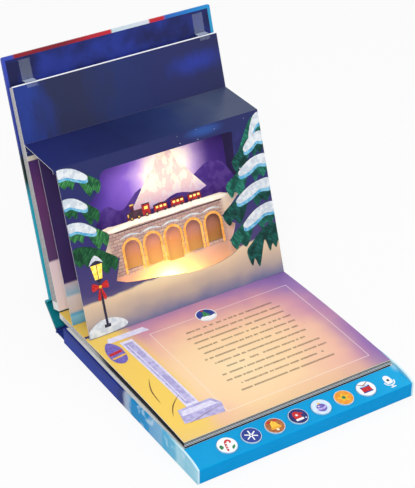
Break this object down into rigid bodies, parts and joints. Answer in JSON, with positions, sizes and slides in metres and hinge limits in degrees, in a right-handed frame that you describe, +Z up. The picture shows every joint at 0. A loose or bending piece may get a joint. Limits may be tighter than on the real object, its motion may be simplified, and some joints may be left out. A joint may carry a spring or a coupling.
{
  "type": "pop-up sound book",
  "caption": "Open children's sound book: a case with a row of push buttons and a microphone, card pages, a lit folding pop-up box scene and a hinged hard cover.",
  "frame": {"origin": "centre of the case's flat underside, on the surface that the book stands on", "axes": "+X to the right along the button row, +Y away from the buttons towards the spine, +Z up; rest is the book standing open"},
  "size_m": [0.246, 0.3689, 0.2743],
  "materials": {
    "case_tray": "moulded tray with a printed paper wrap on its sides",
    "case_deck": "plain moulded deck",
    "console_fascia": "glossy printed blue",
    "case_hinge_paper": "glossy laminated wrap paper",
    "cover_hinge_paper": "glossy laminated wrap paper",
    "spine_board": "board wrapped in glossy laminated paper",
    "front_cover": "board wrapped in glossy laminated paper",
    "upper_pages": "printed satin card leaves",
    "lower_pages": "printed satin card leaves",
    "popup_box": "printed gloss card, die-cut and folded",
    "popup_sky": "printed gloss card",
    "popup_scenery": "printed gloss card, die-cut",
    "strap_left": "clear film",
    "strap_right": "clear film",
    "button_mat": "silicone keypad mat",
    "circuit_board": "green solder mask",
    "microphone": "metal can",
    "sound_chip": "black epoxy blob",
    "battery_door": "moulded door",
    "contact_minus": "plated spring contact",
    "contact_plus": "plated spring contact",
    "contact_bridge_front": "plated spring contact",
    "contact_bridge_rear": "plated spring contact",
    "speaker_frame": "pressed basket",
    "speaker_magnet": "magnet and yoke",
    "speaker_cone": "black paper cone",
    "lamp_board": "green solder mask",
    "lamp": "clear epoxy lens, lit warm white",
    "lamp_lead": "insulated lead",
    "mode_switch": "moulded knob with grip ridges",
    "button_1": "printed plastic disc",
    "button_2": "printed plastic disc",
    "button_3": "printed plastic disc",
    "button_4": "printed plastic disc",
    "button_5": "printed plastic disc",
    "button_6": "printed plastic disc",
    "button_7": "printed plastic disc",
    "battery_1": "plain wrapped cell",
    "battery_2": "plain wrapped cell",
    "battery_3": "plain wrapped cell",
    "door_screw": "machine screw",
    "case_screw_1": "self-tapping screw",
    "case_screw_2": "self-tapping screw",
    "case_screw_3": "self-tapping screw",
    "case_screw_4": "self-tapping screw",
    "case_screw_5": "self-tapping screw",
    "case_screw_6": "self-tapping screw"
  },
  "bodies": {
    "base": {"case_tray": "case_tray", "case_deck": "case_deck", "console_fascia": "console_fascia", "case_hinge_paper": "case_hinge_paper", "lower_pages": "lower_pages", "popup_box": "popup_box", "popup_sky": "popup_sky", "popup_scenery": "popup_scenery", "button_mat": "button_mat", "circuit_board": "circuit_board", "microphone": "microphone", "sound_chip": "sound_chip", "battery_door": "battery_door", "contact_minus": "contact_minus", "contact_plus": "contact_plus", "contact_bridge_front": "contact_bridge_front", "contact_bridge_rear": "contact_bridge_rear", "speaker_frame": "speaker_frame", "speaker_magnet": "speaker_magnet", "speaker_cone": "speaker_cone", "lamp_board": "lamp_board", "lamp": "lamp", "lamp_lead": "lamp_lead", "battery_1": "battery_1", "battery_2": "battery_2", "battery_3": "battery_3", "door_screw": "door_screw", "case_screw_1": "case_screw_1", "case_screw_2": "case_screw_2", "case_screw_3": "case_screw_3", "case_screw_4": "case_screw_4", "case_screw_5": "case_screw_5", "case_screw_6": "case_screw_6"},
    "cover": {"front_cover": "front_cover", "upper_pages": "upper_pages", "strap_left": "strap_left", "strap_right": "strap_right"},
    "spine": {"spine_board": "spine_board", "cover_hinge_paper": "cover_hinge_paper"},
    "button_1": {"button_1": "button_1"},
    "button_2": {"button_2": "button_2"},
    "button_3": {"button_3": "button_3"},
    "button_4": {"button_4": "button_4"},
    "button_5": {"button_5": "button_5"},
    "button_6": {"button_6": "button_6"},
    "button_7": {"button_7": "button_7"},
    "mode_switch": {"mode_switch": "mode_switch"}
  },
  "joints": [
    {"name": "cover_fold", "type": "hinge", "parent": "base", "child": "cover", "pos_m": [0, 0.144, 0.027], "axis": [1, 0, 0], "range_deg": [0, 108.5], "deforming": ["popup_box", "popup_sky", "popup_scenery"]},
    {"name": "spine_fold", "type": "hinge", "parent": "base", "child": "spine", "pos_m": [0, 0.1476, 0.0014], "axis": [1, 0, 0], "range_deg": [0, 45], "deforming": ["cover_hinge_paper"]},
    {"name": "button_1_press", "type": "slide", "parent": "base", "child": "button_1", "axis": [0, -0.122, 0.9925], "range_m": [-0.001, 0], "stiffness_N_per_m": 1500},
    {"name": "button_2_press", "type": "slide", "parent": "base", "child": "button_2", "axis": [0, -0.122, 0.9925], "range_m": [-0.001, 0], "stiffness_N_per_m": 1500},
    {"name": "button_3_press", "type": "slide", "parent": "base", "child": "button_3", "axis": [0, -0.122, 0.9925], "range_m": [-0.001, 0], "stiffness_N_per_m": 1500},
    {"name": "button_4_press", "type": "slide", "parent": "base", "child": "button_4", "axis": [0, -0.122, 0.9925], "range_m": [-0.001, 0], "stiffness_N_per_m": 1500},
    {"name": "button_5_press", "type": "slide", "parent": "base", "child": "button_5", "axis": [0, -0.122, 0.9925], "range_m": [-0.001, 0], "stiffness_N_per_m": 1500},
    {"name": "button_6_press", "type": "slide", "parent": "base", "child": "button_6", "axis": [0, -0.122, 0.9925], "range_m": [-0.001, 0], "stiffness_N_per_m": 1500},
    {"name": "button_7_press", "type": "slide", "parent": "base", "child": "button_7", "axis": [0, -0.122, 0.9925], "range_m": [-0.001, 0], "stiffness_N_per_m": 1500},
    {"name": "mode_switch_slide", "type": "slide", "parent": "base", "child": "mode_switch", "axis": [1, 0, 0], "range_m": [-0.0025, 0.0025]}
  ],
  "couplings": [
    {"joint": "spine_fold", "follows": "cover_fold", "ratio": 0.4147}
  ]
}
